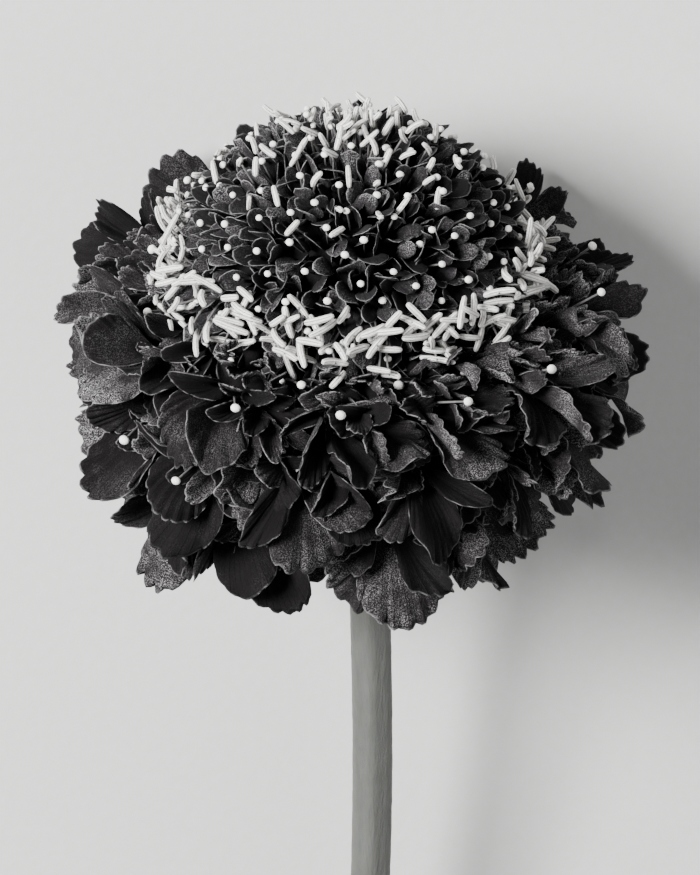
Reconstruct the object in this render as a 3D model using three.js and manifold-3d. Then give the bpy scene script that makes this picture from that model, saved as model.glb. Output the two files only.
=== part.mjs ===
// A cut scabiosa (pincushion flower) lying on a table.
//
// The flower is modelled upright about its own axis, which runs up the stem and out through the top of
// the dome, with its front towards -Y. The last lines lay it on its back, its face towards -Y, so that
// it rests on the ray florets and on the cut end of the stem. All lengths are in millimetres.
//
// Nodes: stem (stem, receptacle and involucral bracts), ray_florets (the large ruffled florets round the
// head), disc_florets (the small cupped florets of the dome, with their stigmas and the stamens of the
// crown) and anther_ring (the wreath of anthers round the dome).
import * as THREE from "three";
import { mergeVertices } from "three/addons/utils/BufferGeometryUtils.js";
import Module from "manifold-3d";

const wasm = await Module();
wasm.setup();

// ---------------------------------------------------------------- driving dimensions
const HEAD_RISE = 10; // degrees that the flower's axis rises above the table
const HEAD_LIFT = 24.2; // height of the middle of the head over the table
const HEAD_FORWARD = 55.39; // the middle of the head lies this far in front of the origin
const HEAD_ASIDE = 0.09; // and this far to its side

const DOME_RADIUS = 15; // to the rims of the disc florets, level with the anther ring
const DOME_HEIGHT = 12;
const FLORET_DEPTH = 2.6; // how far the disc florets stand out of the core
const CORE_BASE = -1.5; // flat underside of the disc florets' core
const SEAT_GAP = 0.3; // clearance between pieces that sit on one another

const BLADE = 0.6; // thickness of petals and bracts

// The rows of ray florets, from the dome down to the stem. root is [radius, height] of the foot of the
// tube, rise the angle of the tube above the flower's equator, tube its length, face the angle of the
// open limb above the equator, limb the length of its lobes, and flare the angles that the limb stands at
// from the tube's axis at its throat and at its tips. Angles are in degrees.
const RAY_ROWS = [
  { count: 13, root: [9.6, -3.0], rise: -1, tube: 6.4, face: 38, limb: 5.4, flare: [24, 84] },
  { count: 13, root: [8.8, -4.7], rise: -1, tube: 9.8, face: 31, limb: 9.4, flare: [20, 86] },
  { count: 14, root: [6.8, -5.4], rise: -20, tube: 13.0, face: 5, limb: 10.0, flare: [18, 82] },
  { count: 11, root: [4.6, -6.2], rise: -43, tube: 14.8, face: -16, limb: 10.6, flare: [16, 78] },
];
const THROAT_RADIUS = 0.9; // of a ray floret's tube, where its limb begins
const YAW = 20; // degrees that a limb is turned aside, so that it tucks under the next
const SCATTER = [0.05, 0.05, 0.12, 0.12]; // share of the step between two florets, for each row
const RUFFLE = 0.7; // how far the lobes wave out of their funnel
const WAVES_PER_TURN = 5.6; // of the ruffle, round the tube
const RAY_CORE = [4.6, 8.6, 11.6, 11.4]; // radii of the solid middle, from its bottom up
const RAY_CORE_HEIGHTS = [-9.2, -7.2, -3.6, CORE_BASE - SEAT_GAP];

const DISC_FLORETS = 83;
const DISC_LAST = 94; // degrees from the top of the dome to the last of them
const LOBES = 5;
// Rings of a disc floret as [radius, height], from its foot up its outside to the rim of the cup, down
// into the throat, and up the style to the stigma.
const CUP = { foot: [0, -1.7], side: [1.0, 0.35], rim: [1.55, 2.05], throat: [0.4, 0.8] };
const STIGMA = { side: [0.5, 2.75], top: [0, 3.3] };
const LOBE_TIP = [0.38, 0.36]; // how far a lobe's tip stands out and up from the rim

const ANTHER_LENGTH = 2.9;
const ANTHER_RADIUS = 0.44;
const ANTHER_TIP = 0.17; // radius where two anthers meet
const ANTHER_SHOULDERS = [0.22, 0.78]; // shares of an anther's length between which it is full width

const CROWN_STAMENS = 18;
const CROWN_LAST = 38; // degrees from the top of the dome to the last of them
const CROWN_REACH = 3.7; // of a filament, out of the dome's core
const CROWN_STRAY = 0.9; // and to any side
const CROWN_SHIFT = 0.4; // turns them out of the middles of the florets' cups
const FILAMENT_RADIUS = 0.32;
const FILAMENT_ROOT = 0.4; // sunk into the core

const RING_ANTHERS = 120;
const RING_TURNS = 2;
const RING_POLAR = 82; // degrees from the top of the dome to the wreath of anthers
const RING_OFFSET = 1.75; // outside the florets' rims
const RING_SPREAD = 0.5; // from the middle of the wreath in to one turn and out to the other
const RING_TIER = 1.15; // and up to one and down to the other, at the front
const ZIGZAG = 1.15; // from the middle of the wreath up and down to its corners

const STEM_RADIUS = 2.0;
const STEM_RIBS = 6;
const RIB_DEPTH = 0.07; // share of the radius between ridge and furrow
const STEM_END = -126; // where the cut end is, along the flower's axis
const CUT_SLANT = 0.55; // rise of the cut for its run
const NECK = -13.5; // where the stem begins to swell into the receptacle
const RECEPTACLE = [
  [2.3, -12.2],
  [3.1, -10.9],
  [4.4, -10.0],
  [4.6, RAY_CORE_HEIGHTS[0] - SEAT_GAP],
];
const TABLE_BITE = 0.12; // what rests on the table is cut flat by this much

const BRACTS = 12;
const BRACT_LENGTHS = [9.6, 8.2]; // longer and shorter by turns
const BRACT_STARTS = [18, 34]; // degrees that they lean out from the stem at their roots
const BRACT_END = 86; // and at their tips
const BRACT_ROOT = [3.4, -10.4]; // radius and height
const BRACT_HALF_WIDTH = 1.05;
const BRACT_KEEL = 0.25; // how far the sides hang below the middle

// ---------------------------------------------------------------- small tools
const rad = THREE.MathUtils.degToRad;
const lerp = THREE.MathUtils.lerp;
const GOLDEN_ANGLE = Math.PI * (3 - Math.sqrt(5));

// A repeatable value from -1 to 1 for item i, one series for each k.
function vary(i, k) {
  const x = Math.sin(i * 12.9898 + k * 78.233) * 43758.5453;
  return 2 * (x - Math.floor(x)) - 1;
}

// The directions out from the axis, round it and along it, at an angle round the flower.
function directions(angle) {
  return {
    out: new THREE.Vector3(Math.cos(angle), Math.sin(angle), 0),
    round: new THREE.Vector3(-Math.sin(angle), Math.cos(angle), 0),
    up: new THREE.Vector3(0, 0, 1),
  };
}

const NOWHERE = new THREE.Vector3();

// A copy of a point or vector, moved by a length along each of some vectors.
function sum(origin, ...terms) {
  const p = origin.clone();
  for (const [vector, length] of terms) p.addScaledVector(vector, length);
  return p;
}

function meshOf(points, faces) {
  const geometry = new THREE.BufferGeometry().setFromPoints(points);
  geometry.setIndex(faces.flat());
  return geometry;
}

const CORE_SIDES = 16;

// A solid of revolution about the flower's axis, from a profile of [radius, height] pairs.
function turned(profile) {
  const points = profile.map(([radius, height]) => new THREE.Vector2(radius, height));
  return new THREE.LatheGeometry(points, CORE_SIDES).rotateX(Math.PI / 2);
}

function solidOf(geometry) {
  const bare = geometry.clone();
  bare.deleteAttribute("normal");
  bare.deleteAttribute("uv");
  const merged = mergeVertices(bare, 1e-4);
  return new wasm.Manifold(
    new wasm.Mesh({
      numProp: 3,
      vertProperties: merged.attributes.position.array,
      triVerts: new Uint32Array(merged.index.array),
    }),
  );
}

// Joins closed geometries into one body; a hollow sealed between them is filled.
function fuse(geometries) {
  const bodies = wasm.Manifold.union(geometries.map(solidOf)).decompose();
  return bodies.reduce((a, b) => (a.volume() > b.volume() ? a : b));
}

function geometryOf(solid) {
  const { vertProperties, triVerts } = solid.getMesh();
  const geometry = new THREE.BufferGeometry();
  geometry.setAttribute("position", new THREE.BufferAttribute(vertProperties, 3));
  geometry.setIndex(new THREE.BufferAttribute(triVerts, 1));
  return geometry;
}

// ---------------------------------------------------------------- the table
const SIN_RISE = Math.sin(rad(HEAD_RISE));
const COS_RISE = Math.cos(rad(HEAD_RISE));
const TABLE_UP = new THREE.Vector3(0, -COS_RISE, SIN_RISE); // in the flower's axes
const PRESS_FROM = 4; // petals below this height give way to the table
const PRESS_SOFT = 6; // and crowd together over this depth

const heightOverTable = (p) => HEAD_LIFT + p.dot(TABLE_UP);

// Moves a point of a petal's middle surface up off the table, as the resting petals bend.
function press(p) {
  const height = heightOverTable(p);
  if (height >= PRESS_FROM) return p;
  const soft = PRESS_FROM - PRESS_SOFT + PRESS_SOFT * Math.exp((height - PRESS_FROM) / PRESS_SOFT);
  return p.addScaledVector(TABLE_UP, Math.max(soft, BLADE / 2 - TABLE_BITE) - height);
}

// Cuts off what reaches below the table, which leaves small flat spots.
const onTable = (solid) => solid.trimByPlane(TABLE_UP.toArray(), -HEAD_LIFT);

// ---------------------------------------------------------------- thin blades
const STEP = 0.02; // to either side of a point, for the slopes of the surface there

// A closed blade: the flat layout's points go through place(a, b) to its middle surface, and both faces
// and the edge between them are set BLADE apart.
function blade(layout, place) {
  const n = layout.points.length;
  const faces = [];
  const upper = [];
  const lower = [];
  for (const [a, b] of layout.points) {
    const p = place(a, b);
    const alongA = place(a + STEP, b).sub(place(a - STEP, b));
    const alongB = place(a, b + STEP).sub(place(a, b - STEP));
    const normal = alongA.cross(alongB).normalize();
    upper.push(sum(p, [normal, BLADE / 2]));
    lower.push(sum(p, [normal, -BLADE / 2]));
  }
  for (const [i, j, k] of layout.faces) faces.push([i, j, k], [n + i, n + k, n + j]);
  layout.edge.forEach((i, at) => {
    const j = layout.edge[(at + 1) % layout.edge.length];
    faces.push([j, i, n + i], [j, n + i, n + j]);
  });
  return meshOf([...upper, ...lower], faces);
}

// ---------------------------------------------------------------- ray florets
const OUTER_NOTCH = 0.3; // shares of the limb's length where its sides end
const INNER_NOTCH = 0.46; // and where the slits between its lobes do
const LOBE_CENTRE = 0.6; // share of a lobe's length out to the middle that its rim is stitched to
const SCALLOPED = [
  [0.78, -0.93],
  [1, -0.47],
  [0.93, 0.02],
  [1, 0.5],
  [0.76, 0.95],
];
const ROUNDED = [
  [0.77, -0.86],
  [1, -0.28],
  [0.98, 0.38],
  [0.74, 0.91],
];

// The limb of a ray floret, laid out flat: a claw that runs down to the core, and three lobes with
// scalloped ends. Points are [share of the limb's length, degrees round the tube]; a negative share is
// down the tube. Each lobe's rim is a list of [share of its length, share of its half width].
function rayLayout(lobes, claw) {
  const points = [];
  const faces = [];
  const add = (share, angle) => points.push([share, angle]) - 1;
  const rootLeft = add(-1, -claw);
  const rootRight = add(-1, claw);
  const edge = [rootRight, rootLeft];
  const throats = lobes.map(({ middle }) => add(0, middle));
  const notches = [add(OUTER_NOTCH, lobes[0].middle - lobes[0].half)];
  edge.push(notches[0]);
  lobes.forEach(({ middle, half, length, rim }, l) => {
    const last = l === lobes.length - 1;
    const centre = add(LOBE_CENTRE * length, middle);
    const ends = rim.map(([share, side]) => add(share * length, middle + side * half));
    notches.push(add(last ? OUTER_NOTCH : INNER_NOTCH, middle + half));
    const round = [notches[l], ...ends, notches[l + 1]];
    for (let k = 0; k + 1 < round.length; k++) faces.push([round[k], round[k + 1], centre]);
    faces.push([throats[l], notches[l], centre], [notches[l + 1], throats[l], centre]);
    if (!last) faces.push([throats[l], notches[l + 1], throats[l + 1]]);
    edge.push(...round.slice(1));
  });
  const lastThroat = throats[throats.length - 1];
  faces.push([rootLeft, notches[0], throats[0]], [rootRight, lastThroat, notches[lobes.length]]);
  throats.forEach((throat, l) => {
    if (l > 0) faces.push([rootLeft, throats[l - 1], throat]);
  });
  faces.push([rootLeft, lastThroat, rootRight]);
  return { points, faces, edge };
}

const BROAD_LIMB = rayLayout(
  [
    { middle: -62, half: 28, length: 0.88, rim: ROUNDED },
    { middle: 0, half: 33, length: 1, rim: SCALLOPED },
    { middle: 62, half: 28, length: 0.86, rim: ROUNDED },
  ],
  50,
);
const SMALL_LIMB = rayLayout(
  [
    { middle: -25, half: 23, length: 1, rim: ROUNDED },
    { middle: 25, half: 23, length: 0.9, rim: ROUNDED },
  ],
  40,
);

// One ray floret. rise is the angle of its tube above the flower's equator and face that of its open
// limb, which yaw turns to one side. flare is the angle the limb opens through, from throat to tips.
function rayFloret({ layout, angle, root, rise, tube, face, yaw, limb, flare, wave }) {
  const { out, round, up } = directions(angle);
  const axis = sum(NOWHERE, [out, Math.cos(rise)], [up, Math.sin(rise)]);
  const ahead = sum(NOWHERE, [out, Math.cos(face)], [up, Math.sin(face)]);
  const hang = sum(NOWHERE, [out, Math.sin(face)], [up, -Math.cos(face)]);
  const forth = sum(NOWHERE, [ahead, Math.cos(yaw)], [round, Math.sin(yaw)]);
  const aside = sum(NOWHERE, [round, Math.cos(yaw)], [ahead, -Math.sin(yaw)]);
  const start = sum(NOWHERE, [out, root[0]], [up, root[1]]);
  const throat = sum(start, [axis, tube]);
  const [open, spread] = flare;
  const bend = (spread - open) / limb;
  function place(share, degrees) {
    const psi = rad(degrees);
    const radial = sum(NOWHERE, [hang, Math.cos(psi)], [aside, Math.sin(psi)]);
    if (share < 0) return press(sum(start, [axis, tube * (1 + share)], [radial, THROAT_RADIUS]));
    const angleHere = open + bend * share * limb;
    const reach = (Math.sin(angleHere) - Math.sin(open)) / bend;
    const away = (Math.cos(open) - Math.cos(angleHere)) / bend;
    const ripple = RUFFLE * share * share * Math.sin(psi * WAVES_PER_TURN + wave);
    return press(sum(throat, [forth, reach + ripple], [radial, THROAT_RADIUS + away]));
  }
  return blade(layout, place);
}

function rayRow(row) {
  const { count, root, rise, tube, face, limb, flare } = RAY_ROWS[row];
  return Array.from({ length: count }, (_, i) =>
    rayFloret({
      layout: row ? BROAD_LIMB : SMALL_LIMB,
      angle: ((i + 0.5 * (row % 2) + SCATTER[row] * vary(i, row)) * 2 * Math.PI) / count,
      root,
      rise: rad(rise + 4 * vary(i, 10 + row)),
      tube: tube * (1 + 0.06 * vary(i, 20 + row)),
      face: rad(face + 6 * vary(i, 70 + row)),
      yaw: rad(YAW + 6 * vary(i, 50 + row)),
      limb: limb * (1 + 0.08 * vary(i, 30 + row)),
      flare: flare.map((f) => rad(f + 5 * vary(i, 40 + row))),
      wave: 3 * vary(i, 60 + row),
    }),
  );
}

// The solid middle that the ray florets grow from.
const rayCore = turned([
  [0, RAY_CORE_HEIGHTS[0]],
  ...RAY_CORE.map((radius, at) => [radius, RAY_CORE_HEIGHTS[at]]),
  [0, CORE_BASE - SEAT_GAP],
]);

// ---------------------------------------------------------------- disc florets
// A point of the dome at a polar angle from its top, sunk along the outward normal there, with that normal
// and the direction round the dome.
function domePoint(polar, angle, sink) {
  const { out, round, up } = directions(angle);
  const sine = Math.sin(polar);
  const cosine = Math.cos(polar);
  const normal = sum(NOWHERE, [out, sine / DOME_RADIUS], [up, cosine / DOME_HEIGHT]).normalize();
  const rim = sum(NOWHERE, [out, DOME_RADIUS * sine], [up, DOME_HEIGHT * cosine]);
  return { point: sum(rim, [normal, -sink]), normal, round };
}

// The dome's area from its waist up to where the cosine of the polar angle is c, as for any ellipsoid
// of revolution, but for a factor.
function areaTo(c) {
  const focal = Math.sqrt(DOME_RADIUS ** 2 - DOME_HEIGHT ** 2);
  const slope = Math.hypot(DOME_HEIGHT, focal * c);
  return c * slope + (DOME_HEIGHT ** 2 / focal) * Math.asinh((focal * c) / DOME_HEIGHT);
}

// Item i of count, spread evenly over the dome in a spiral from its top down to the polar angle last.
function spiral(i, count, last) {
  const share = (i + 0.5) / count;
  const area = lerp(areaTo(1), areaTo(Math.cos(last)), share);
  let [low, high] = [Math.cos(last), 1];
  for (let halving = 0; halving < 24; halving++) {
    const middle = (low + high) / 2;
    if (areaTo(middle) < area) low = middle;
    else high = middle;
  }
  return { polar: Math.acos(low), angle: i * GOLDEN_ANGLE };
}

// Stitches two rings of points into faces. A ring may have as many points as the one before, twice as
// many, half as many, or one, a tip.
function stitch(faces, a, b) {
  const [few, many, reversed] = a.length <= b.length ? [a, b, false] : [b, a, true];
  const add = (...face) => faces.push(reversed ? face.reverse() : face);
  const step = many.length / few.length;
  many.forEach((m, i) => {
    const n = many[(i + 1) % many.length];
    if (few.length === 1) add(few[0], n, m);
    else if (step === 1) {
      const p = few[i];
      const q = few[(i + 1) % few.length];
      add(p, q, n);
      add(p, n, m);
    } else if (i % 2 === 0) {
      const p = few[i / 2];
      const q = few[(i / 2 + 1) % few.length];
      add(p, n, m);
      add(p, q, n);
      add(q, many[(i + 2) % many.length], n);
    }
  });
}

function stitchAll(rings) {
  const faces = [];
  for (let r = 0; r + 1 < rings.length; r++) stitch(faces, rings[r], rings[r + 1]);
  return faces;
}

// A disc floret: a cup of five lobes that opens outward, with the style and its stigma standing in it.
function discFloret(i) {
  const { polar, angle } = spiral(i, DISC_FLORETS, rad(DISC_LAST));
  const { point, normal, round } = domePoint(polar, angle, FLORET_DEPTH);
  const side = normal.clone().cross(round);
  const turn = 3 * vary(i, 1);
  const size = 1 + 0.06 * vary(i, 2);
  const tall = 0.3 * vary(i, 20);
  const points = [];
  const ring = (count, [radius, height], lift = 0) =>
    Array.from({ length: count }, (_, k) => {
      const tip = count === 2 * LOBES && k % 2 === 1;
      const t = turn + (k * 2 * Math.PI) / count;
      const r = size * (tip ? radius + LOBE_TIP[0] : radius);
      const h = height + lift + (tip ? LOBE_TIP[1] + 0.2 * vary(i, 3 + k) : 0);
      const p = sum(point, [round, r * Math.cos(t)], [side, r * Math.sin(t)], [normal, h]);
      return points.push(p) - 1;
    });
  const rings = [
    ring(1, CUP.foot),
    ring(LOBES, CUP.side),
    ring(2 * LOBES, CUP.rim),
    ring(LOBES, CUP.throat),
    ring(LOBES, STIGMA.side, tall),
    ring(1, STIGMA.top, tall),
  ];
  return meshOf(points, stitchAll(rings));
}

const ASLANT = new THREE.Vector3(0.31, 0.52, 0.79); // along no spindle

// A spindle of a few sides between two points, pointed at both ends, and of its full radius between the
// two shares of its length in belly.
function spindle(from, to, radius, sides, belly) {
  const way = to.clone().sub(from);
  const length = way.length();
  way.normalize();
  const across = ASLANT.clone().cross(way).normalize();
  const other = way.clone().cross(across);
  const points = [];
  const ring = (count, r, share) =>
    Array.from({ length: count }, (_, k) => {
      const t = (k * 2 * Math.PI) / count;
      const p = sum(from, [way, share * length], [across, r * Math.cos(t)], [other, r * Math.sin(t)]);
      return points.push(p) - 1;
    });
  const rings = [ring(1, 0, 0), ring(sides, radius, belly[0]), ring(sides, radius, belly[1]), ring(1, 0, 1)];
  return meshOf(points, stitchAll(rings));
}

// The stamens of the crown: each a filament that stands out of the dome, with its anther across the end.
function crownStamen(i) {
  const { polar, angle } = spiral(i + 0.5, CROWN_STAMENS, rad(CROWN_LAST));
  const { point, normal, round } = domePoint(polar, angle + CROWN_SHIFT, FLORET_DEPTH);
  const side = normal.clone().cross(round);
  const end = sum(
    point,
    [normal, CROWN_REACH + 0.6 * vary(i, 70)],
    [round, CROWN_STRAY * vary(i, 71)],
    [side, CROWN_STRAY * vary(i, 72)],
  );
  const way = sum(
    NOWHERE,
    [round, vary(i, 73)],
    [side, vary(i, 74)],
    [normal, 0.5 * vary(i, 75)],
  ).normalize();
  const half = ANTHER_LENGTH / 2;
  const from = sum(point, [normal, -FILAMENT_ROOT]);
  const into = sum(end, [normal, 0.1]);
  return [
    spindle(from, into, FILAMENT_RADIUS, 3, [0.12, 0.9]),
    spindle(sum(end, [way, -half]), sum(end, [way, half]), ANTHER_RADIUS, 4, ANTHER_SHOULDERS),
  ];
}

const CORE_STEPS = 6;

// The core of the dome: a lathe of half an ellipse on a short drum.
function discCore() {
  const radius = DOME_RADIUS - FLORET_DEPTH;
  const height = DOME_HEIGHT - FLORET_DEPTH;
  const profile = [
    [0, CORE_BASE],
    [radius, CORE_BASE],
  ];
  for (let s = 0; s < CORE_STEPS; s++) {
    const t = (s / CORE_STEPS) * (Math.PI / 2);
    profile.push([radius * Math.cos(t), height * Math.sin(t)]);
  }
  return turned([...profile, [0, height]]);
}

// ---------------------------------------------------------------- the ring of anthers
// The anthers lie in a wreath round the foot of the dome. End to end they make one zigzag strand that
// runs round the dome twice. Its two turns lie one outside the other, and change places at the front,
// where one is well above the other.
const ANTHER_SIDES = 3;

// Corner k of the strand, with the outward normal there and the direction round the dome.
function corner(k) {
  const turned = (2 * Math.PI * k) / RING_ANTHERS;
  const angle = RING_TURNS * turned - Math.PI / 2 + 0.025 * vary(k, 80);
  const apart = THREE.MathUtils.clamp(3 * Math.sin(turned), -1, 1);
  const out = RING_OFFSET + RING_SPREAD * apart;
  const { point, normal, round } = domePoint(rad(RING_POLAR), angle, -out);
  const loose = 0.15 + 0.65 * Math.abs(apart); // less where the two turns change places
  const height = (k % 2 ? 1 : -1) * ZIGZAG + RING_TIER * Math.cos(turned) + loose * vary(k, 81);
  return { point: sum(point, [normal.clone().cross(round), height]), normal, round };
}

function antherStrand() {
  const points = [];
  const ring = (middle, normal, way, radius) => {
    const across = way.clone().cross(normal).normalize();
    return Array.from({ length: ANTHER_SIDES }, (_, s) => {
      const t = (s * 2 * Math.PI) / ANTHER_SIDES;
      const p = sum(middle, [normal, radius * Math.cos(t)], [across, radius * Math.sin(t)]);
      return points.push(p) - 1;
    });
  };
  const rings = [];
  for (let k = 0; k < RING_ANTHERS; k++) {
    const from = corner(k);
    const to = corner((k + 1) % RING_ANTHERS);
    const way = to.point.clone().sub(from.point);
    rings.push(ring(from.point, from.normal, from.round, ANTHER_TIP));
    for (const share of ANTHER_SHOULDERS)
      rings.push(ring(sum(from.point, [way, share]), from.normal, way, ANTHER_RADIUS));
  }
  const faces = [];
  rings.forEach((r, i) => stitch(faces, r, rings[(i + 1) % rings.length]));
  return meshOf(points, faces);
}

// ---------------------------------------------------------------- stem, receptacle and bracts
const STEM_SIDES = 2 * STEM_RIBS;
const STEM_STEPS = 12;
const stemEndRest = (HEAD_LIFT + SIN_RISE * STEM_END - STEM_RADIUS + TABLE_BITE) / COS_RISE;

const stemLine = new THREE.CatmullRomCurve3([
  new THREE.Vector3(0, 0, NECK),
  new THREE.Vector3(1.2, 0, -24),
  new THREE.Vector3(2.0, -0.4, -44),
  new THREE.Vector3(1.8, -0.7, -72),
  new THREE.Vector3(0.2, -0.2, -100),
  new THREE.Vector3(-2.4, stemEndRest, STEM_END),
]);

// A closed skin over rings of points, each ring with as many points, seen anticlockwise from its end.
function loft(rings) {
  const points = rings.flat();
  const sides = rings[0].length;
  const at = (r) => Array.from({ length: sides }, (_, k) => r * sides + k);
  const faces = [];
  for (let r = 0; r + 1 < rings.length; r++) stitch(faces, at(r), at(r + 1));
  const last = at(rings.length - 1);
  for (let k = 1; k + 1 < sides; k++) faces.push([0, k + 1, k], [last[0], last[k], last[k + 1]]);
  return meshOf(points, faces);
}

const stemRing = (centre, radius, ribbed, slant = 0) =>
  Array.from({ length: STEM_SIDES }, (_, k) => {
    const t = (k * 2 * Math.PI) / STEM_SIDES;
    const r = radius * (ribbed && k % 2 === 0 ? 1 - RIB_DEPTH : 1);
    return new THREE.Vector3(
      centre.x + r * Math.cos(t),
      centre.y + r * Math.sin(t),
      centre.z + slant * r * Math.cos(t),
    );
  });

function stem() {
  const rings = [];
  for (let s = STEM_STEPS; s >= 0; s--) {
    const slant = s === STEM_STEPS ? CUT_SLANT : 0;
    rings.push(stemRing(stemLine.getPoint(s / STEM_STEPS), STEM_RADIUS, true, slant));
  }
  for (const [radius, height] of RECEPTACLE)
    rings.push(stemRing(new THREE.Vector3(0, 0, height), radius, false));
  return loft(rings);
}

// A bract of the involucre, a narrow leaf that bends down round the top of the stem.
const BRACT_LAYOUT = {
  points: [
    [0, -0.75],
    [0, 0.75],
    [0.38, -1],
    [0.38, 0],
    [0.38, 1],
    [0.74, -0.68],
    [0.74, 0.68],
    [1, 0],
  ],
  faces: [
    [0, 2, 3],
    [0, 3, 1],
    [1, 3, 4],
    [2, 5, 3],
    [3, 6, 4],
    [3, 5, 6],
    [5, 7, 6],
  ],
  edge: [0, 2, 5, 7, 6, 4, 1],
};

function bract(i) {
  const angle = ((i + 0.12 * vary(i, 90)) * 2 * Math.PI) / BRACTS;
  const { out, round, up } = directions(angle);
  const length = BRACT_LENGTHS[i % 2] * (1 + 0.06 * vary(i, 91));
  const start = rad(BRACT_STARTS[i % 2]);
  const end = rad(BRACT_END + 6 * vary(i, 92));
  const bend = (end - start) / length;
  const place = (share, across) => {
    const lean = start + bend * share * length;
    const reach = (Math.sin(lean) - Math.sin(start)) / bend;
    const fall = (Math.cos(start) - Math.cos(lean)) / bend + BRACT_KEEL * across * across;
    return sum(
      NOWHERE,
      [out, BRACT_ROOT[0] + reach],
      [up, BRACT_ROOT[1] - fall],
      [round, BRACT_HALF_WIDTH * across],
    );
  };
  return blade(BRACT_LAYOUT, place);
}

// ---------------------------------------------------------------- the flower
const GREEN = { color: 0x7f8678, roughness: 0.62, metalness: 0 };
const DARK = { color: 0x1c181b, roughness: 0.8, metalness: 0 };
const WHITE = { color: 0xe9e6e0, roughness: 0.55, metalness: 0 };

const flower = new THREE.Group();

function addNode(name, solid, finish) {
  const mesh = new THREE.Mesh(geometryOf(solid), new THREE.MeshStandardMaterial(finish));
  mesh.name = name;
  flower.add(mesh);
}

const each = (count, make) => Array.from({ length: count }, (_, i) => make(i));

addNode("stem", onTable(fuse([stem(), ...each(BRACTS, bract)])), GREEN);
addNode("ray_florets", onTable(fuse([rayCore, ...each(RAY_ROWS.length, rayRow).flat()])), DARK);
addNode(
  "disc_florets",
  fuse([discCore(), ...each(DISC_FLORETS, discFloret), ...each(CROWN_STAMENS, crownStamen).flat()]),
  DARK,
);
addNode("anther_ring", fuse([antherStrand()]), WHITE);

// Laid on its back: the front turns up, and the top of the dome faces -Y.
flower.rotation.set(Math.PI / 2 - rad(HEAD_RISE), 0, Math.PI);
flower.position.set(HEAD_ASIDE, -HEAD_FORWARD, HEAD_LIFT);

export default flower;
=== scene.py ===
"""A cut scabiosa (pincushion flower) lying on its side on a table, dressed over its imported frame.

Every piece is a surface worked out with numpy in millimetres about the flower's own upright axis, with
the top of the dome at +z and the front at -y, and is then laid down where the frame's solids lie."""

import bpy
import numpy as np
from mathutils import Matrix


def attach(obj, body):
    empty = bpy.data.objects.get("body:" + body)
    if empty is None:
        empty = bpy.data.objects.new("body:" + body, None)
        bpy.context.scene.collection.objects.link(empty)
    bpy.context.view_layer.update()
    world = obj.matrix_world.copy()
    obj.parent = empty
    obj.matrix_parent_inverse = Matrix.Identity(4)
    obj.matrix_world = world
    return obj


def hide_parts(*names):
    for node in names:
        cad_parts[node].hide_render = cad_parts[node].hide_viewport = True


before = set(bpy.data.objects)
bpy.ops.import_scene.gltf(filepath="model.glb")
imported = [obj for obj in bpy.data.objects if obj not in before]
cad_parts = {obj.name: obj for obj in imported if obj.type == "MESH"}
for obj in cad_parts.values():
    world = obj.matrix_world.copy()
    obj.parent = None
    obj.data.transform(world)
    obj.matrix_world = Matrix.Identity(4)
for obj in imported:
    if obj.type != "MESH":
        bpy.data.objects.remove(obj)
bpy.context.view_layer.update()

# ---------------------------------------------------------------- stem
# The stalk that the flower was cut with: a firm grey-green stem with six shallow ribs, a fine down and
# a slanting cut. It swells into the receptacle, which the florets sit on.
HEAD_RISE = np.radians(10)  # that the flower's axis rises above the table
HEAD_LIFT, HEAD_FORWARD, HEAD_ASIDE = 24.2, 55.39, 0.09
STEM_RADIUS = 2.0
STEM_TOP, STEM_END = -13.5, -126.0
TABLE_BITE = 0.12
BACKWARD = np.array([0.0, 1.0, 0.0])


def laid(points):
    """Lays points down: x is mirrored, and the upright axis is tipped forward until it rises ten degrees
    above the table. Millimetres become metres."""
    x, y, z = np.moveaxis(points, -1, 0)
    placed = [
        HEAD_ASIDE - x,
        -HEAD_FORWARD - np.sin(HEAD_RISE) * y - np.cos(HEAD_RISE) * z,
        HEAD_LIFT - np.cos(HEAD_RISE) * y + np.sin(HEAD_RISE) * z,
    ]
    return np.stack(placed, axis=-1) / 1000


def vary(i, k):
    """A repeatable value from -1 to 1 for item i, one series for each k: twice the fraction of a large
    multiple of a sine, less one."""
    x = np.sin(i * 12.9898 + k * 78.233) * 43758.5453
    return 2 * (x - np.floor(x)) - 1


def unit(vectors):
    return vectors / np.linalg.norm(vectors, axis=-1, keepdims=True)


def on_axis(heights):
    """Points at these heights on the flower's own axis."""
    return np.multiply.outer(heights, [0.0, 0.0, 1.0])


def tube_faces(stations, sides):
    """Faces of a tube: a fan from the foot's point to the first ring, four-sided faces from ring to ring,
    and a fan from the last ring to the tip's point. A three-sided face ends in -1."""
    here = np.arange(sides)
    ring = 1 + sides * np.arange(stations)[:, None] + here
    after = 1 + sides * np.arange(stations)[:, None] + (here + 1) % sides
    none = np.full(sides, -1)
    foot = np.stack([np.zeros(sides, int), after[0], ring[0], none], -1)
    walls = np.stack([ring[:-1], after[:-1], after[1:], ring[1:]], -1).reshape(-1, 4)
    tip = np.stack([np.full(sides, stations * sides + 1), ring[-1], after[-1], none], -1)
    return np.concatenate([foot, walls, tip])


def tube(path, radius, upright):
    """A closed tube along each path of stations: at every station a ring round the path's direction, at
    radius(station, side) from it, turned to face upright. A point on the path closes each end."""
    way = unit(np.gradient(path, axis=-2))
    across = unit(np.cross(upright, way))
    other = np.cross(way, across)
    turn = 2 * np.pi * np.arange(radius.shape[-1]) / radius.shape[-1]
    spoke = across[..., None, :] * np.cos(turn)[:, None] + other[..., None, :] * np.sin(turn)[:, None]
    rings = path[..., None, :] + spoke * radius[..., None]
    rings = rings.reshape(*path.shape[:-2], -1, 3)
    points = np.concatenate([path[..., :1, :], rings, path[..., -1:, :]], axis=-2)
    return points, tube_faces(*radius.shape[-2:])


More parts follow.
